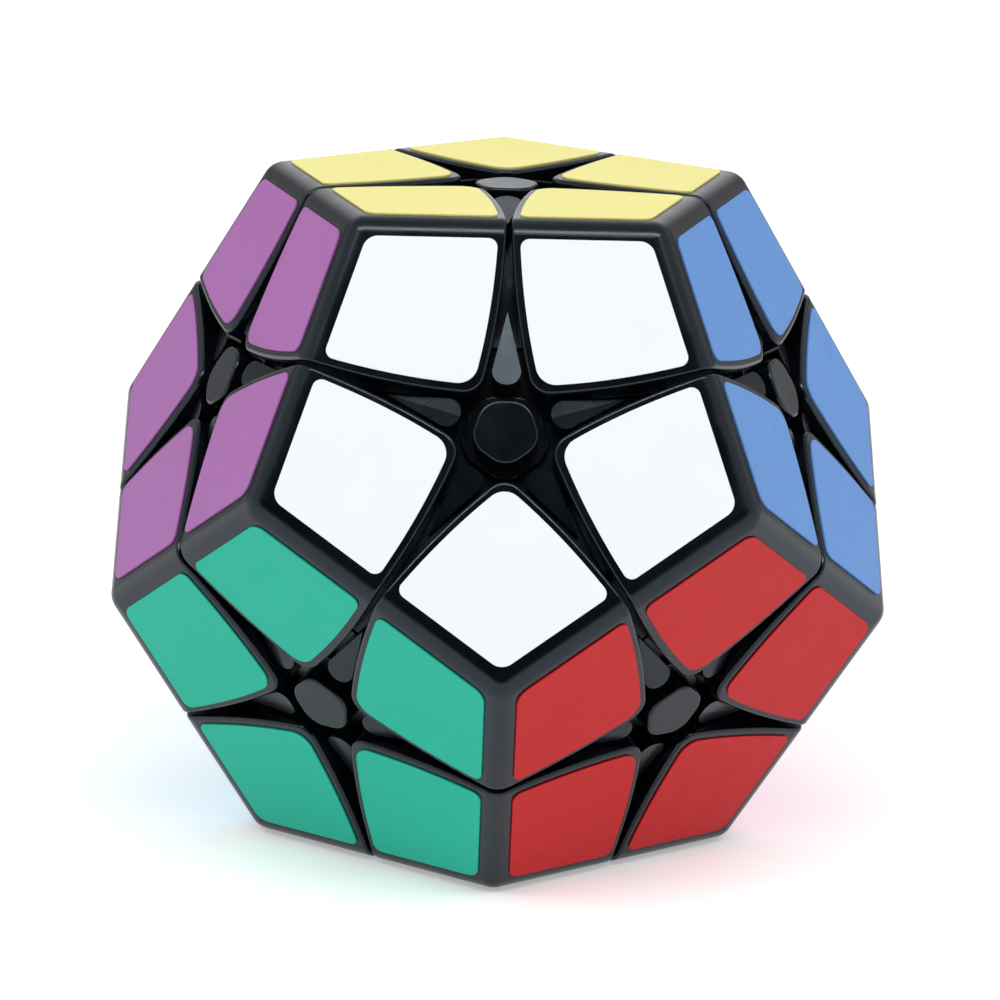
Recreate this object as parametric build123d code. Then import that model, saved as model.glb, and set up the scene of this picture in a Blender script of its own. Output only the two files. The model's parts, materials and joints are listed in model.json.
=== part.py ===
from build123d import *
import math
import os

# Dodecahedron twisty puzzle, cut so that each face turns with its five corners.
# The origin is the puzzle's centre. +Z points out of the yellow face, and the puzzle rests on the cream one.
# Every surface between two pieces is either turned about a face axis or a sphere about the centre,
# so a layer can turn on its axis as soon as it is in line.

# Driving dimensions, in millimetres and degrees
face_to_face = 75.0
turning_gap = 0.2          # kept by each piece on its own side of every cut
cut_slope = 0.55           # rise of the visible cut for each millimetre away from its face axis
cap_floor_radius = 35.0    # sphere under the corner caps
plate_floor_radius = 30.5  # sphere under the plates that hold the feet down
foot_floor_radius = 23.0   # sphere under the feet
plate_half_angle = 47.0    # layer cone between the caps and the feet
foot_half_angle = 54.0     # layer cone at the feet

edge_rounding = 2.6        # rounding of the dodecahedron's own edges
apex_rounding = 2.4        # corner cap, where its two cuts meet near the face's centre
rim_rounding = 0.4         # corner cap, where a cut meets a face

sticker_thickness = 0.18
sticker_edge_distance = 21.17
sticker_cut_inset = 1.13
sticker_outer_rounding = 1.74
sticker_side_rounding = 1.0
sticker_apex_rounding = 2.2

petal_start = 5.2          # rounded inner end of the petal, from the face's axis
petal_tip = 13.6
petal_taper = 13.0         # between the petal's middle line and each side
petal_sink_inner = 0.8     # depth of the petal's ridge under the face, at its inner end
petal_sink_outer = 2.25
petal_roof_slope = 2.0
petal_side_inset = 0.12
petal_rounding = 1.5
petal_root_depth = 6.0

centre_plate_top = 33.4
stem_radius = 3.4
stem_bottom = 15.3
stem_floor = 2.0
stem_bore_radius = 2.5
screw_hole_radius = 1.55

cap_top = 37.2
cap_apothem = 3.45
cap_corner_rounding = 2.5
cap_top_apothem = 3.4
cap_rim_rounding = 0.35
flange_apothem = 4.45
flange_top = 34.4
flange_corner_rounding = 2.9
flange_rim_rounding = 0.25
plug_radius = 2.45
plug_length = 2.6

core_radius = 9.0
arm_radius = 3.1
arm_length = 15.0
thread_radius = 1.25
thread_bottom = 6.5

screw_tip = 7.5
screw_head_bottom = 23.0
screw_head_radius = 2.15
screw_head_height = 1.8
cross_width = 0.8
cross_length = 3.0
cross_depth = 1.0
washer_radius = 2.2
washer_hole_radius = 1.4
washer_thickness = 0.5
spring_radius = 1.9
spring_wire_radius = 0.22
spring_turns = 4
spring_end_gap = 0.1

# Proportions of a regular dodecahedron
golden = (1 + math.sqrt(5)) / 2
face_distance = face_to_face / 2
edge_length = face_to_face * math.sqrt(3 - golden) / golden ** 2
midpoint_distance = edge_length * golden ** 2 / 2
vertex_distance = edge_length * golden * math.sqrt(3) / 2
face_tilt = math.degrees(math.atan(2))
midpoint_tilt = math.degrees(math.acos(face_distance / midpoint_distance))
vertex_tilt = math.degrees(math.acos(face_distance / vertex_distance))

# The visible cut of a layer is a cone through the midpoints of the edges that leave its face
cut_height = math.sqrt(midpoint_distance ** 2 - face_distance ** 2)
cut_apex_height = cut_height - cut_slope * face_distance
cut_half_angle = math.degrees(math.atan(1 / cut_slope))

# Larger than the puzzle, for cutting blocks
reach = 90.0

# The twelve faces: colour, tilt from +Z, azimuth
upper_tilt = face_tilt
lower_tilt = 180 - face_tilt
faces = {
    "yellow": (0, 0),
    "white": (upper_tilt, -90),
    "blue": (upper_tilt, -18),
    "light_green": (upper_tilt, 54),
    "orange": (upper_tilt, 126),
    "purple": (upper_tilt, -162),
    "red": (lower_tilt, -54),
    "pink": (lower_tilt, 18),
    "grey": (lower_tilt, 90),
    "light_blue": (lower_tilt, 162),
    "green": (lower_tilt, -126),
    "cream": (180, 0),
}
turning_layers = ["yellow", "red", "grey"]


def direction(tilt, azimuth):
    radial = math.sin(math.radians(tilt))
    return Vector(
        radial * math.cos(math.radians(azimuth)),
        radial * math.sin(math.radians(azimuth)),
        math.cos(math.radians(tilt)),
    )


def frame_along(axis, towards):
    """Plane at the centre with +Z along axis and +X leaning towards another direction."""
    across = towards - axis * axis.dot(towards)
    return Plane(origin=(0, 0, 0), x_dir=across.normalized(), z_dir=axis)


def tilted(tilt, azimuth):
    """Plane at the centre with +Z tilted, and +X leaning back towards the old +Z."""
    return frame_along(direction(tilt, azimuth), Vector(0, 0, 1))


normals = {colour: direction(*place) for colour, place in faces.items()}


def adjacent(first, second):
    angle = normals[first].get_angle(normals[second])
    return abs(angle - face_tilt) < 1


# Layers

def cone_point(half_angle, apex_height, grow, radius):
    """Where a cone, grown outwards, meets a sphere about the centre, as (distance from axis, height)."""
    slope_sin = math.sin(math.radians(half_angle))
    slope_cos = math.cos(math.radians(half_angle))
    start = apex_height - grow / slope_sin
    run = math.sqrt((start * slope_cos) ** 2 - start ** 2 + radius ** 2) - start * slope_cos
    return (run * slope_sin, start + run * slope_cos)


def at(point):
    return Vector(point[0], 0, point[1])


def arc_about_centre(first, last):
    radius = math.hypot(*first)
    angle = (math.atan2(first[1], first[0]) + math.atan2(last[1], last[0])) / 2
    middle = (radius * math.cos(angle), radius * math.sin(angle))
    return ThreePointArc(at(first), at(middle), at(last))


def layer(grow):
    """The space of one layer about +Z, grown on every side. A piece in it is cut to a negative growth."""
    foot_top = plate_floor_radius + grow
    cap_floor = cap_floor_radius - grow
    apex = (0, -grow / math.sin(math.radians(foot_half_angle)))
    foot_outer = cone_point(foot_half_angle, 0, grow, foot_top)
    foot_inner = cone_point(plate_half_angle, 0, grow, foot_top)
    cap_inner = cone_point(plate_half_angle, 0, grow, cap_floor)
    cap_outer = cone_point(cut_half_angle, cut_apex_height, grow, cap_floor)
    rim = cone_point(cut_half_angle, cut_apex_height, grow, reach)
    top = (0, rim[1])
    outline = [
        Line(at(apex), at(foot_outer)),
        arc_about_centre(foot_outer, foot_inner),
        Line(at(foot_inner), at(cap_inner)),
        arc_about_centre(cap_inner, cap_outer),
        Line(at(cap_outer), at(rim)),
        Line(at(rim), at(top)),
        Line(at(top), at(apex)),
    ]
    return revolve(make_face(outline), axis=Axis.Z)


inside_layer = layer(-turning_gap)
beyond_layer = layer(turning_gap)
beside_petal = layer(turning_gap + petal_side_inset)
sticker_layer = layer(-sticker_cut_inset)
under_face = Pos(0, 0, face_distance) * Box(reach, reach, reach, align=(Align.CENTER, Align.CENTER, Align.MAX))


# Corner piece, with +Z along its vertex and one of its faces above +X

def make_corner():
    piece = Sphere(vertex_distance + 1) - Sphere(foot_floor_radius)
    for azimuth in (0, 120, 240):
        piece = piece & (tilted(vertex_tilt, azimuth) * under_face)
        piece = piece & (tilted(vertex_tilt, azimuth) * inside_layer)
    ridges = [
        edge for edge in piece.edges()
        if edge.geom_type == GeomType.LINE and edge.center().length > face_distance
    ]
    piece = fillet(ridges, edge_rounding)
    apex_distance = (cap_floor_radius + face_distance) / 2
    apexes = [
        edge for edge in piece.edges()
        if edge.geom_type == GeomType.BSPLINE and abs(edge.center().length - apex_distance) < 1
    ]
    piece = fillet(apexes, apex_rounding)
    rims = [
        edge for edge in piece.edges()
        if edge.geom_type in (GeomType.HYPERBOLA, GeomType.BSPLINE) and edge.center().length > face_distance
    ]
    return fillet(rims, rim_rounding).solid()


# Sticker, flat on a face: +Z out of the face, +X towards the vertex

def round_sticker_corners(piece, low, high, radius):
    """Round the upright edges whose distance from the face's axis is between low and high."""
    upright = [
        edge for edge in piece.edges()
        if edge.length < 2 * sticker_thickness and low < edge.center().X < high
    ]
    return fillet(upright, radius)


def make_sticker():
    piece = Pos(0, 0, face_distance) * Box(
        reach, reach, sticker_thickness, align=(Align.CENTER, Align.CENTER, Align.MIN)
    )
    for azimuth in (-36, 36):
        side = Rot(0, 0, azimuth) * Pos(sticker_edge_distance, 0, 0)
        piece = piece & (side * Box(reach, reach, reach, align=(Align.MAX, Align.CENTER, Align.CENTER)))
        piece = piece & (tilted(face_tilt, azimuth) * sticker_layer)
    half_way = sticker_edge_distance / 2
    piece = round_sticker_corners(piece, 0, half_way, sticker_apex_rounding)
    piece = round_sticker_corners(piece, half_way, sticker_edge_distance, sticker_side_rounding)
    piece = round_sticker_corners(piece, sticker_edge_distance + 1, reach, sticker_outer_rounding)
    return piece.solid()


# Edge piece, with +Z through the middle of its dodecahedron edge and its two faces above +X and -X

def make_petal():
    """Raised tongue in the gap between two corner caps: +Z out of the face, +X towards the edge's middle."""
    half_width = (petal_tip - petal_start) * math.tan(math.radians(petal_taper))
    outline = Polygon((petal_tip, 0), (petal_start, half_width), (petal_start, -half_width), align=None)
    outline = fillet(outline.vertices().sort_by(Axis.X)[:2], petal_rounding)
    piece = Pos(0, 0, face_distance - petal_root_depth) * extrude(outline, petal_root_depth)
    inner = Vector(petal_start, 0, face_distance - petal_sink_inner)
    outer = Vector(petal_tip, 0, face_distance - petal_sink_outer)
    ridge = Plane(origin=inner, x_dir=outer - inner, z_dir=(outer - inner).cross(Vector(0, 1, 0)))
    for slope in (-petal_roof_slope, petal_roof_slope):
        roof = ridge * Rot(slope, 0, 0)
        piece = piece & (roof * Box(reach, reach, reach, align=(Align.CENTER, Align.CENTER, Align.MAX)))
    for azimuth in (-72, 72):
        piece = piece - (tilted(face_tilt, azimuth) * beside_petal)
    return piece & (tilted(face_tilt, 0) * inside_layer)


def make_edge():
    piece = Sphere(cap_floor_radius - turning_gap) - Sphere(foot_floor_radius)
    for azimuth in (0, 180):
        piece = piece & (tilted(midpoint_tilt, azimuth) * inside_layer)
    for azimuth in (-90, 90):
        piece = piece - (tilted(90 - midpoint_tilt, azimuth) * beyond_layer)
    petal = make_petal()
    for azimuth in (0, 180):
        piece = piece + (tilted(midpoint_tilt, azimuth) * petal)
    return piece.solid()


# Centre piece and its snap-in cap, with +Z out of the face and +X towards a vertex

def upright_cylinder(radius, bottom, top):
    return Pos(0, 0, bottom) * Cylinder(radius, top - bottom, align=(Align.CENTER, Align.CENTER, Align.MIN))


def make_centre():
    plate = upright_cylinder(face_distance, stem_bottom, centre_plate_top)
    plate = plate & Sphere(cap_floor_radius - turning_gap)
    plate = plate - Sphere(plate_floor_radius + turning_gap)
    for azimuth in range(36, 360, 72):
        plate = plate - (tilted(face_tilt, azimuth) * beyond_layer)
    piece = plate + upright_cylinder(stem_radius, stem_bottom, centre_plate_top)
    piece = piece - upright_cylinder(stem_bore_radius, stem_bottom + stem_floor, face_distance)
    piece = piece - upright_cylinder(screw_hole_radius, 0, face_distance)
    return piece.solid()


def rounded_pentagon(apothem, rounding):
    outline = RegularPolygon(radius=apothem, side_count=5, major_radius=False)
    return fillet(outline.vertices(), rounding)


def make_cap():
    foot = rounded_pentagon(cap_apothem, cap_corner_rounding)
    head = Pos(0, 0, cap_top - centre_plate_top) * rounded_pentagon(cap_top_apothem, cap_corner_rounding)
    tower = loft([foot, head])
    tower = fillet(tower.faces().sort_by(Axis.Z)[-1].edges(), cap_rim_rounding)
    flange = extrude(rounded_pentagon(flange_apothem, flange_corner_rounding), flange_top - centre_plate_top)
    flange = fillet(flange.faces().sort_by(Axis.Z)[-1].edges(), flange_rim_rounding)
    plug = upright_cylinder(plug_radius, -plug_length, 0)
    return (Pos(0, 0, centre_plate_top) * (tower + flange + plug)).solid()


# Core, screws, washers and springs, with +Z along the arm

def make_core():
    piece = Sphere(core_radius)
    for normal in normals.values():
        arm = upright_cylinder(arm_radius, 0, arm_length)
        piece = piece + (Plane(origin=(0, 0, 0), z_dir=normal) * arm)
    for normal in normals.values():
        hole = upright_cylinder(thread_radius, thread_bottom, face_distance)
        piece = piece - (Plane(origin=(0, 0, 0), z_dir=normal) * hole)
    return piece.solid()


def make_screw():
    head_top = screw_head_bottom + screw_head_height
    piece = upright_cylinder(thread_radius, screw_tip, screw_head_bottom)
    piece = piece + upright_cylinder(screw_head_radius, screw_head_bottom, head_top)
    for turn in (0, 90):
        slot = Box(cross_length, cross_width, cross_depth, align=(Align.CENTER, Align.CENTER, Align.MAX))
        piece = piece - (Pos(0, 0, head_top) * Rot(0, 0, turn) * slot)
    return piece.solid()


def make_washer():
    bottom = screw_head_bottom - washer_thickness
    ring = upright_cylinder(washer_radius, bottom, screw_head_bottom)
    return (ring - upright_cylinder(washer_hole_radius, bottom, screw_head_bottom)).solid()


def make_spring():
    bottom = stem_bottom + stem_floor + spring_end_gap + spring_wire_radius
    top = screw_head_bottom - washer_thickness - spring_end_gap - spring_wire_radius
    path = Helix(pitch=(top - bottom) / spring_turns, height=top - bottom, radius=spring_radius)
    wire = Plane(origin=path @ 0, z_dir=path % 0) * Circle(spring_wire_radius)
    return (Pos(0, 0, bottom) * sweep(wire, path=path, is_frenet=True)).solid()


# Assembly

def vertices():
    """The three faces at each of the twenty vertices."""
    colours = list(faces)
    return [
        (first, second, third)
        for first in colours
        for second in colours[colours.index(first) + 1:]
        for third in colours[colours.index(second) + 1:]
        if adjacent(first, second) and adjacent(second, third) and adjacent(first, third)
    ]


def edges():
    """The two faces at each of the thirty dodecahedron edges."""
    colours = list(faces)
    return [
        (first, second)
        for first in colours
        for second in colours[colours.index(first) + 1:]
        if adjacent(first, second)
    ]


def middle(colours):
    return sum((normals[colour] for colour in colours), Vector(0, 0, 0)).normalized()


def group_of(colours):
    """The turning layer that a piece belongs to, or the still part of the puzzle."""
    for colour in turning_layers:
        if colour in colours:
            return colour + "_layer"
    return "still_part"


nodes = {}


def add(node, piece):
    nodes.setdefault(node, []).append(piece)


corner = make_corner()
sticker = make_sticker()
for colours in vertices():
    vertex = middle(colours)
    group = group_of(colours)
    node = "corners_still_part" if group == "still_part" else "corner_" + "_".join(colours)
    add(node, frame_along(vertex, normals[colours[0]]) * corner)
    for colour in colours:
        add(colour + "_stickers_" + group, frame_along(normals[colour], vertex) * sticker)

edge = make_edge()
for colours in edges():
    add("edges_" + group_of(colours), frame_along(middle(colours), normals[colours[0]]) * edge)

centre = make_centre()
cap = make_cap()
screw = make_screw()
washer = make_washer()
spring = make_spring()
for colour, normal in normals.items():
    vertex = next(middle(colours) for colours in vertices() if colour in colours)
    face_frame = frame_along(normal, vertex)
    add("centres_" + group_of([colour]), face_frame * centre)
    add("caps_" + group_of([colour]), face_frame * cap)
    add("screws", face_frame * screw)
    add("washers", face_frame * washer)
    add("springs", face_frame * spring)

add("core", make_core())

os.makedirs("parts", exist_ok=True)
for node, pieces in nodes.items():
    shape = pieces[0] if len(pieces) == 1 else Compound(pieces)
    export_step(shape, "parts/" + node + ".step")
print(len(nodes), "nodes and", sum(len(pieces) for pieces in nodes.values()), "solids")
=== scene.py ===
"""Looks of the dodecahedron twisty puzzle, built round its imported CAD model. Lengths are in metres."""
import json
import math

import bpy
from mathutils import Matrix, Vector


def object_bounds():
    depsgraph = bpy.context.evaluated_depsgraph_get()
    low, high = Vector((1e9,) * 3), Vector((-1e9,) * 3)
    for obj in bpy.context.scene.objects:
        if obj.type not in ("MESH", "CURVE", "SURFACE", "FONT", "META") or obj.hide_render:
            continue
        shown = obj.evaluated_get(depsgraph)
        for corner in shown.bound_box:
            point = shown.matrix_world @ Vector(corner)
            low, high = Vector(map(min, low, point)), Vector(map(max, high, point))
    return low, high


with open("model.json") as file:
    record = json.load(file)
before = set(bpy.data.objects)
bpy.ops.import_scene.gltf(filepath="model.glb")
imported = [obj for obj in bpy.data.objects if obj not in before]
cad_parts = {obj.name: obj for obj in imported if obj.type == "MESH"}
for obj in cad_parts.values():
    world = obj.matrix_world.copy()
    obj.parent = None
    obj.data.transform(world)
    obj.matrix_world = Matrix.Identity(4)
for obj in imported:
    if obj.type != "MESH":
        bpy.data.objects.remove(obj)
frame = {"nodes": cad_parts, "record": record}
cad_low, cad_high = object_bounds()

MM = 0.001

# sRGB colours of the stickers as they look under white light
STICKER_COLOURS = {
    "yellow": (241, 232, 138),
    "white": (233, 238, 242),
    "blue": (97, 145, 209),
    "light_green": (156, 208, 96),
    "orange": (240, 140, 66),
    "purple": (166, 103, 169),
    "red": (182, 0, 6),
    "pink": (240, 160, 190),
    "grey": (146, 150, 154),
    "light_blue": (146, 206, 232),
    "green": (0, 172, 145),
    "cream": (238, 222, 186),
}
VINYL_ROUGHNESS = (0.38, 0.48)
VINYL_SPECULAR_LEVEL = 0.25

# Linear colour, roughness and strength of the grain of each moulded plastic
PLASTICS = {
    "black_plastic": ((0.0018, 0.0025, 0.0040), 0.20, 0.16),
    "cap_plastic": ((0.0018, 0.0025, 0.0040), 0.22, 0.18),
    "inner_plastic": ((0.0022, 0.0030, 0.0044), 0.26, 0.25),
    "core_plastic": ((0.012, 0.013, 0.014), 0.45, 0.4),
}
PLASTIC_IOR = 1.46
PLASTIC_SPECULAR_TINT = (0.70, 0.86, 1.0, 1)

STEEL_COLOUR = (0.56, 0.57, 0.59)
STEEL_ROUGHNESS = 0.28

FLOOR_SIZE = 8
FLOOR_CLEARANCE = 0.02 * MM
FLOOR_COLOUR = (0.93, 0.93, 0.93, 1)
FLOOR_ROUGHNESS = 0.9
FLOOR_SPECULAR_LEVEL = 0.1
FLOOR_GLOW = 0.34               # keeps the floor white all round the puzzle

TENT_COLOUR = (0.97, 0.985, 1, 1)
TENT_HORIZON = 1.24
TENT_ZENITH = 0.52

# Azimuth, height above the horizon, inner and outer angle in degrees, and the share of light left
DARK_PATCHES = (
    (-90, 35, 30, 45, 0.02),    # the tent's opening, above the camera
    (131, 6, 14, 32, 0.3),      # black flag behind the puzzle, to the left
    (50, 5, 14, 32, 0.3),       # black flag behind the puzzle, to the right
)

STRIP_LIGHT_POSITION = Vector((0.0, -0.50, 0.945))
STRIP_LIGHT_SIZE = (1.2, 0.25)
STRIP_LIGHT_WATTS = 7.6

# A long lens from the front, a little above, with a slight roll
EDGE_LENGTH = 33.677            # of the dodecahedron, in millimetres
CAMERA_POSITION = Vector((-0.2585, -15.0236, 4.0196)) * EDGE_LENGTH * MM
CAMERA_FORWARD = Vector((0.016915, 0.965896, -0.258377))
CAMERA_RIGHT = Vector((0.999631, -0.010843, 0.024908))
CAMERA_LENS = 163.6
CAMERA_SENSOR = 36


# Materials

def linear(colour):
    """Linear RGB from an sRGB colour of 0 to 255."""
    out = []
    for value in colour:
        part = value / 255
        out.append(part / 12.92 if part <= 0.04045 else ((part + 0.055) / 1.055) ** 2.4)
    return tuple(out)


def scaled(colour, factor):
    """RGBA of a linear colour made lighter or darker."""
    return (*(min(1.0, part * factor) for part in colour), 1.0)


class Shader:
    """A Principled material with short calls for the nodes that the finishes share."""

    def __init__(self, name):
        self.material = bpy.data.materials.new(name)
        self.material.use_nodes = True
        self.nodes = self.material.node_tree.nodes
        self.links = self.material.node_tree.links
        self.inputs = self.nodes["Principled BSDF"].inputs
        self.position = self.nodes.new("ShaderNodeTexCoord").outputs["Object"]

    def noise(self, scale, detail, roughness=0.55, stretch=None):
        """Noise in the object's own coordinates. Its scale is per metre."""
        node = self.nodes.new("ShaderNodeTexNoise")
        node.inputs["Scale"].default_value = scale
        node.inputs["Detail"].default_value = detail
        node.inputs["Roughness"].default_value = roughness
        vector = self.position
        if stretch:
            mapping = self.nodes.new("ShaderNodeMapping")
            mapping.inputs["Scale"].default_value = stretch
            self.links.new(vector, mapping.inputs["Vector"])
            vector = mapping.outputs["Vector"]
        self.links.new(vector, node.inputs["Vector"])
        return node.outputs["Fac"]

    def colour_between(self, noise, first, second):
        node = self.nodes.new("ShaderNodeMix")
        node.data_type = "RGBA"
        self.links.new(noise, node.inputs["Factor"])
        node.inputs["A"].default_value = first
        node.inputs["B"].default_value = second
        self.links.new(node.outputs["Result"], self.inputs["Base Color"])

    def roughness_between(self, noise, smoothest, roughest):
        """Spread the middle of the noise's range over two roughnesses."""
        node = self.nodes.new("ShaderNodeMapRange")
        node.inputs["From Min"].default_value = 0.3
        node.inputs["From Max"].default_value = 0.7
        node.inputs["To Min"].default_value = smoothest
        node.inputs["To Max"].default_value = roughest
        self.links.new(noise, node.inputs["Value"])
        self.links.new(node.outputs["Result"], self.inputs["Roughness"])

    def bump(self, height, strength, distance, below=None):
        """Bump the surface, on top of the bump given as below."""
        node = self.nodes.new("ShaderNodeBump")
        node.inputs["Strength"].default_value = strength
        node.inputs["Distance"].default_value = distance
        self.links.new(height, node.inputs["Height"])
        if below is not None:
            self.links.new(below, node.inputs["Normal"])
        self.links.new(node.outputs["Normal"], self.inputs["Normal"])
        return node.outputs["Normal"]


def moulded_plastic(name, base, roughness, grain):
    """Glossy moulded black plastic: faint cloudiness, handling smears, sink marks and a very fine grain."""
    shader = Shader(name)
    shader.colour_between(shader.noise(60, detail=4), scaled(base, 0.75), scaled(base, 1.35))
    smear = shader.noise(220, detail=5, roughness=0.6, stretch=(1, 1, 0.35))
    shader.roughness_between(smear, roughness - 0.05, roughness + 0.07)
    sink = shader.bump(shader.noise(90, detail=2), 0.25, 0.25 * MM)
    shader.bump(shader.noise(5200, detail=2), grain, 0.02 * MM, below=sink)
    shader.inputs["IOR"].default_value = PLASTIC_IOR
    shader.inputs["Specular Tint"].default_value = PLASTIC_SPECULAR_TINT
    return shader.material


def sticker_vinyl(name, colour):
    """Semi-matte vinyl: even print with a faint mottle, orange-peel gloss and slightly waved film."""
    base = linear(colour)
    shader = Shader(name)
    shader.colour_between(shader.noise(120, detail=5), scaled(base, 0.965), scaled(base, 1.03))
    shader.roughness_between(shader.noise(400, detail=4), *VINYL_ROUGHNESS)
    wave = shader.bump(shader.noise(140, detail=1), 0.12, 0.3 * MM)
    shader.bump(shader.noise(2600, detail=3), 0.15, 0.03 * MM, below=wave)
    shader.inputs["Specular IOR Level"].default_value = VINYL_SPECULAR_LEVEL
    return shader.material


def plated_steel(name):
    """Bright plating with fine brush marks."""
    shader = Shader(name)
    brushed = shader.noise(900, detail=4, stretch=(1, 1, 0.1))
    shader.colour_between(brushed, scaled(STEEL_COLOUR, 0.85), scaled(STEEL_COLOUR, 1.1))
    shader.roughness_between(brushed, STEEL_ROUGHNESS - 0.06, STEEL_ROUGHNESS + 0.08)
    shader.bump(brushed, 0.2, 0.02 * MM)
    shader.inputs["Metallic"].default_value = 1.0
    return shader.material


def pale_floor(name):
    shader = Shader(name)
    shader.inputs["Base Color"].default_value = FLOOR_COLOUR
    shader.inputs["Roughness"].default_value = FLOOR_ROUGHNESS
    shader.inputs["Specular IOR Level"].default_value = FLOOR_SPECULAR_LEVEL
    shader.inputs["Emission Color"].default_value = (1, 1, 1, 1)
    shader.inputs["Emission Strength"].default_value = FLOOR_GLOW
    return shader.material


slot_materials = {"steel": plated_steel("steel_look")}
for slot_name, finish in PLASTICS.items():
    slot_materials[slot_name] = moulded_plastic(slot_name + "_look", *finish)
for colour_name, sticker_colour in STICKER_COLOURS.items():
    slot_materials[colour_name + "_sticker"] = sticker_vinyl(colour_name + "_vinyl", sticker_colour)

for part in frame["record"]["subparts"]:
    part_material = slot_materials[part["material_slot"]]
    part_node = frame["nodes"][part["node"]]
    if part_node.material_slots:
        for slot in part_node.material_slots:
            slot.material = part_material
    else:
        part_node.data.materials.append(part_material)


# Studio

def add_floor():
    bpy.ops.mesh.primitive_plane_add(size=FLOOR_SIZE, location=(0, 0, cad_low.z - FLOOR_CLEARANCE))
    plane = bpy.context.object
    plane.name = "floor"
    plane.data.materials.append(pale_floor("pale_floor_look"))


def facing(azimuth, height):
    """Unit vector towards an azimuth and a height above the horizon, both in degrees."""
    azimuth = math.radians(azimuth)
    height = math.radians(height)
    return math.cos(azimuth) * math.cos(height), math.sin(azimuth) * math.cos(height), math.sin(height)


def add_tent():
    """World of a white tent, dimmer overhead, with soft-edged dark patches."""
    world = bpy.data.worlds.new("studio")
    world.use_nodes = True
    nodes = world.node_tree.nodes
    links = world.node_tree.links
    background = nodes["Background"].inputs
    direction = nodes.new("ShaderNodeTexCoord").outputs["Generated"]

    split = nodes.new("ShaderNodeSeparateXYZ")
    links.new(direction, split.inputs["Vector"])
    tent = nodes.new("ShaderNodeMapRange")
    tent.inputs["To Min"].default_value = TENT_HORIZON
    tent.inputs["To Max"].default_value = TENT_ZENITH
    links.new(split.outputs["Z"], tent.inputs["Value"])
    strength = tent.outputs["Result"]

    for azimuth, height, inner_angle, outer_angle, share_left in DARK_PATCHES:
        towards = nodes.new("ShaderNodeVectorMath")
        towards.operation = "DOT_PRODUCT"
        towards.inputs[1].default_value = facing(azimuth, height)
        links.new(direction, towards.inputs[0])
        shade = nodes.new("ShaderNodeMapRange")
        shade.interpolation_type = "SMOOTHSTEP"
        shade.inputs["From Min"].default_value = math.cos(math.radians(outer_angle))
        shade.inputs["From Max"].default_value = math.cos(math.radians(inner_angle))
        shade.inputs["To Min"].default_value = 1.0
        shade.inputs["To Max"].default_value = share_left
        links.new(towards.outputs["Value"], shade.inputs["Value"])
        product = nodes.new("ShaderNodeMath")
        product.operation = "MULTIPLY"
        links.new(strength, product.inputs[0])
        links.new(shade.outputs["Result"], product.inputs[1])
        strength = product.outputs["Value"]

    links.new(strength, background["Strength"])
    background["Color"].default_value = TENT_COLOUR
    bpy.context.scene.world = world


def add_strip_light():
    """One long soft light above the front, aimed at the puzzle's centre."""
    data = bpy.data.lights.new("overhead", "AREA")
    data.shape = "RECTANGLE"
    data.size, data.size_y = STRIP_LIGHT_SIZE
    data.energy = STRIP_LIGHT_WATTS
    light = bpy.data.objects.new("overhead", data)
    light.location = STRIP_LIGHT_POSITION
    light.rotation_euler = (-STRIP_LIGHT_POSITION).to_track_quat("-Z", "Y").to_euler()
    bpy.context.collection.objects.link(light)


def add_camera():
    data = bpy.data.cameras.new("camera")
    data.sensor_width = CAMERA_SENSOR
    data.lens = CAMERA_LENS
    camera = bpy.data.objects.new("camera", data)
    bpy.context.collection.objects.link(camera)
    back = -CAMERA_FORWARD.normalized()
    right = (CAMERA_RIGHT - back * CAMERA_RIGHT.dot(back)).normalized()
    axes = Matrix((right, back.cross(right), back)).transposed().to_4x4()
    camera.matrix_world = Matrix.Translation(CAMERA_POSITION) @ axes
    bpy.context.scene.camera = camera


add_floor()
add_tent()
add_strip_light()
add_camera()
bpy.context.scene.view_settings.view_transform = "Standard"
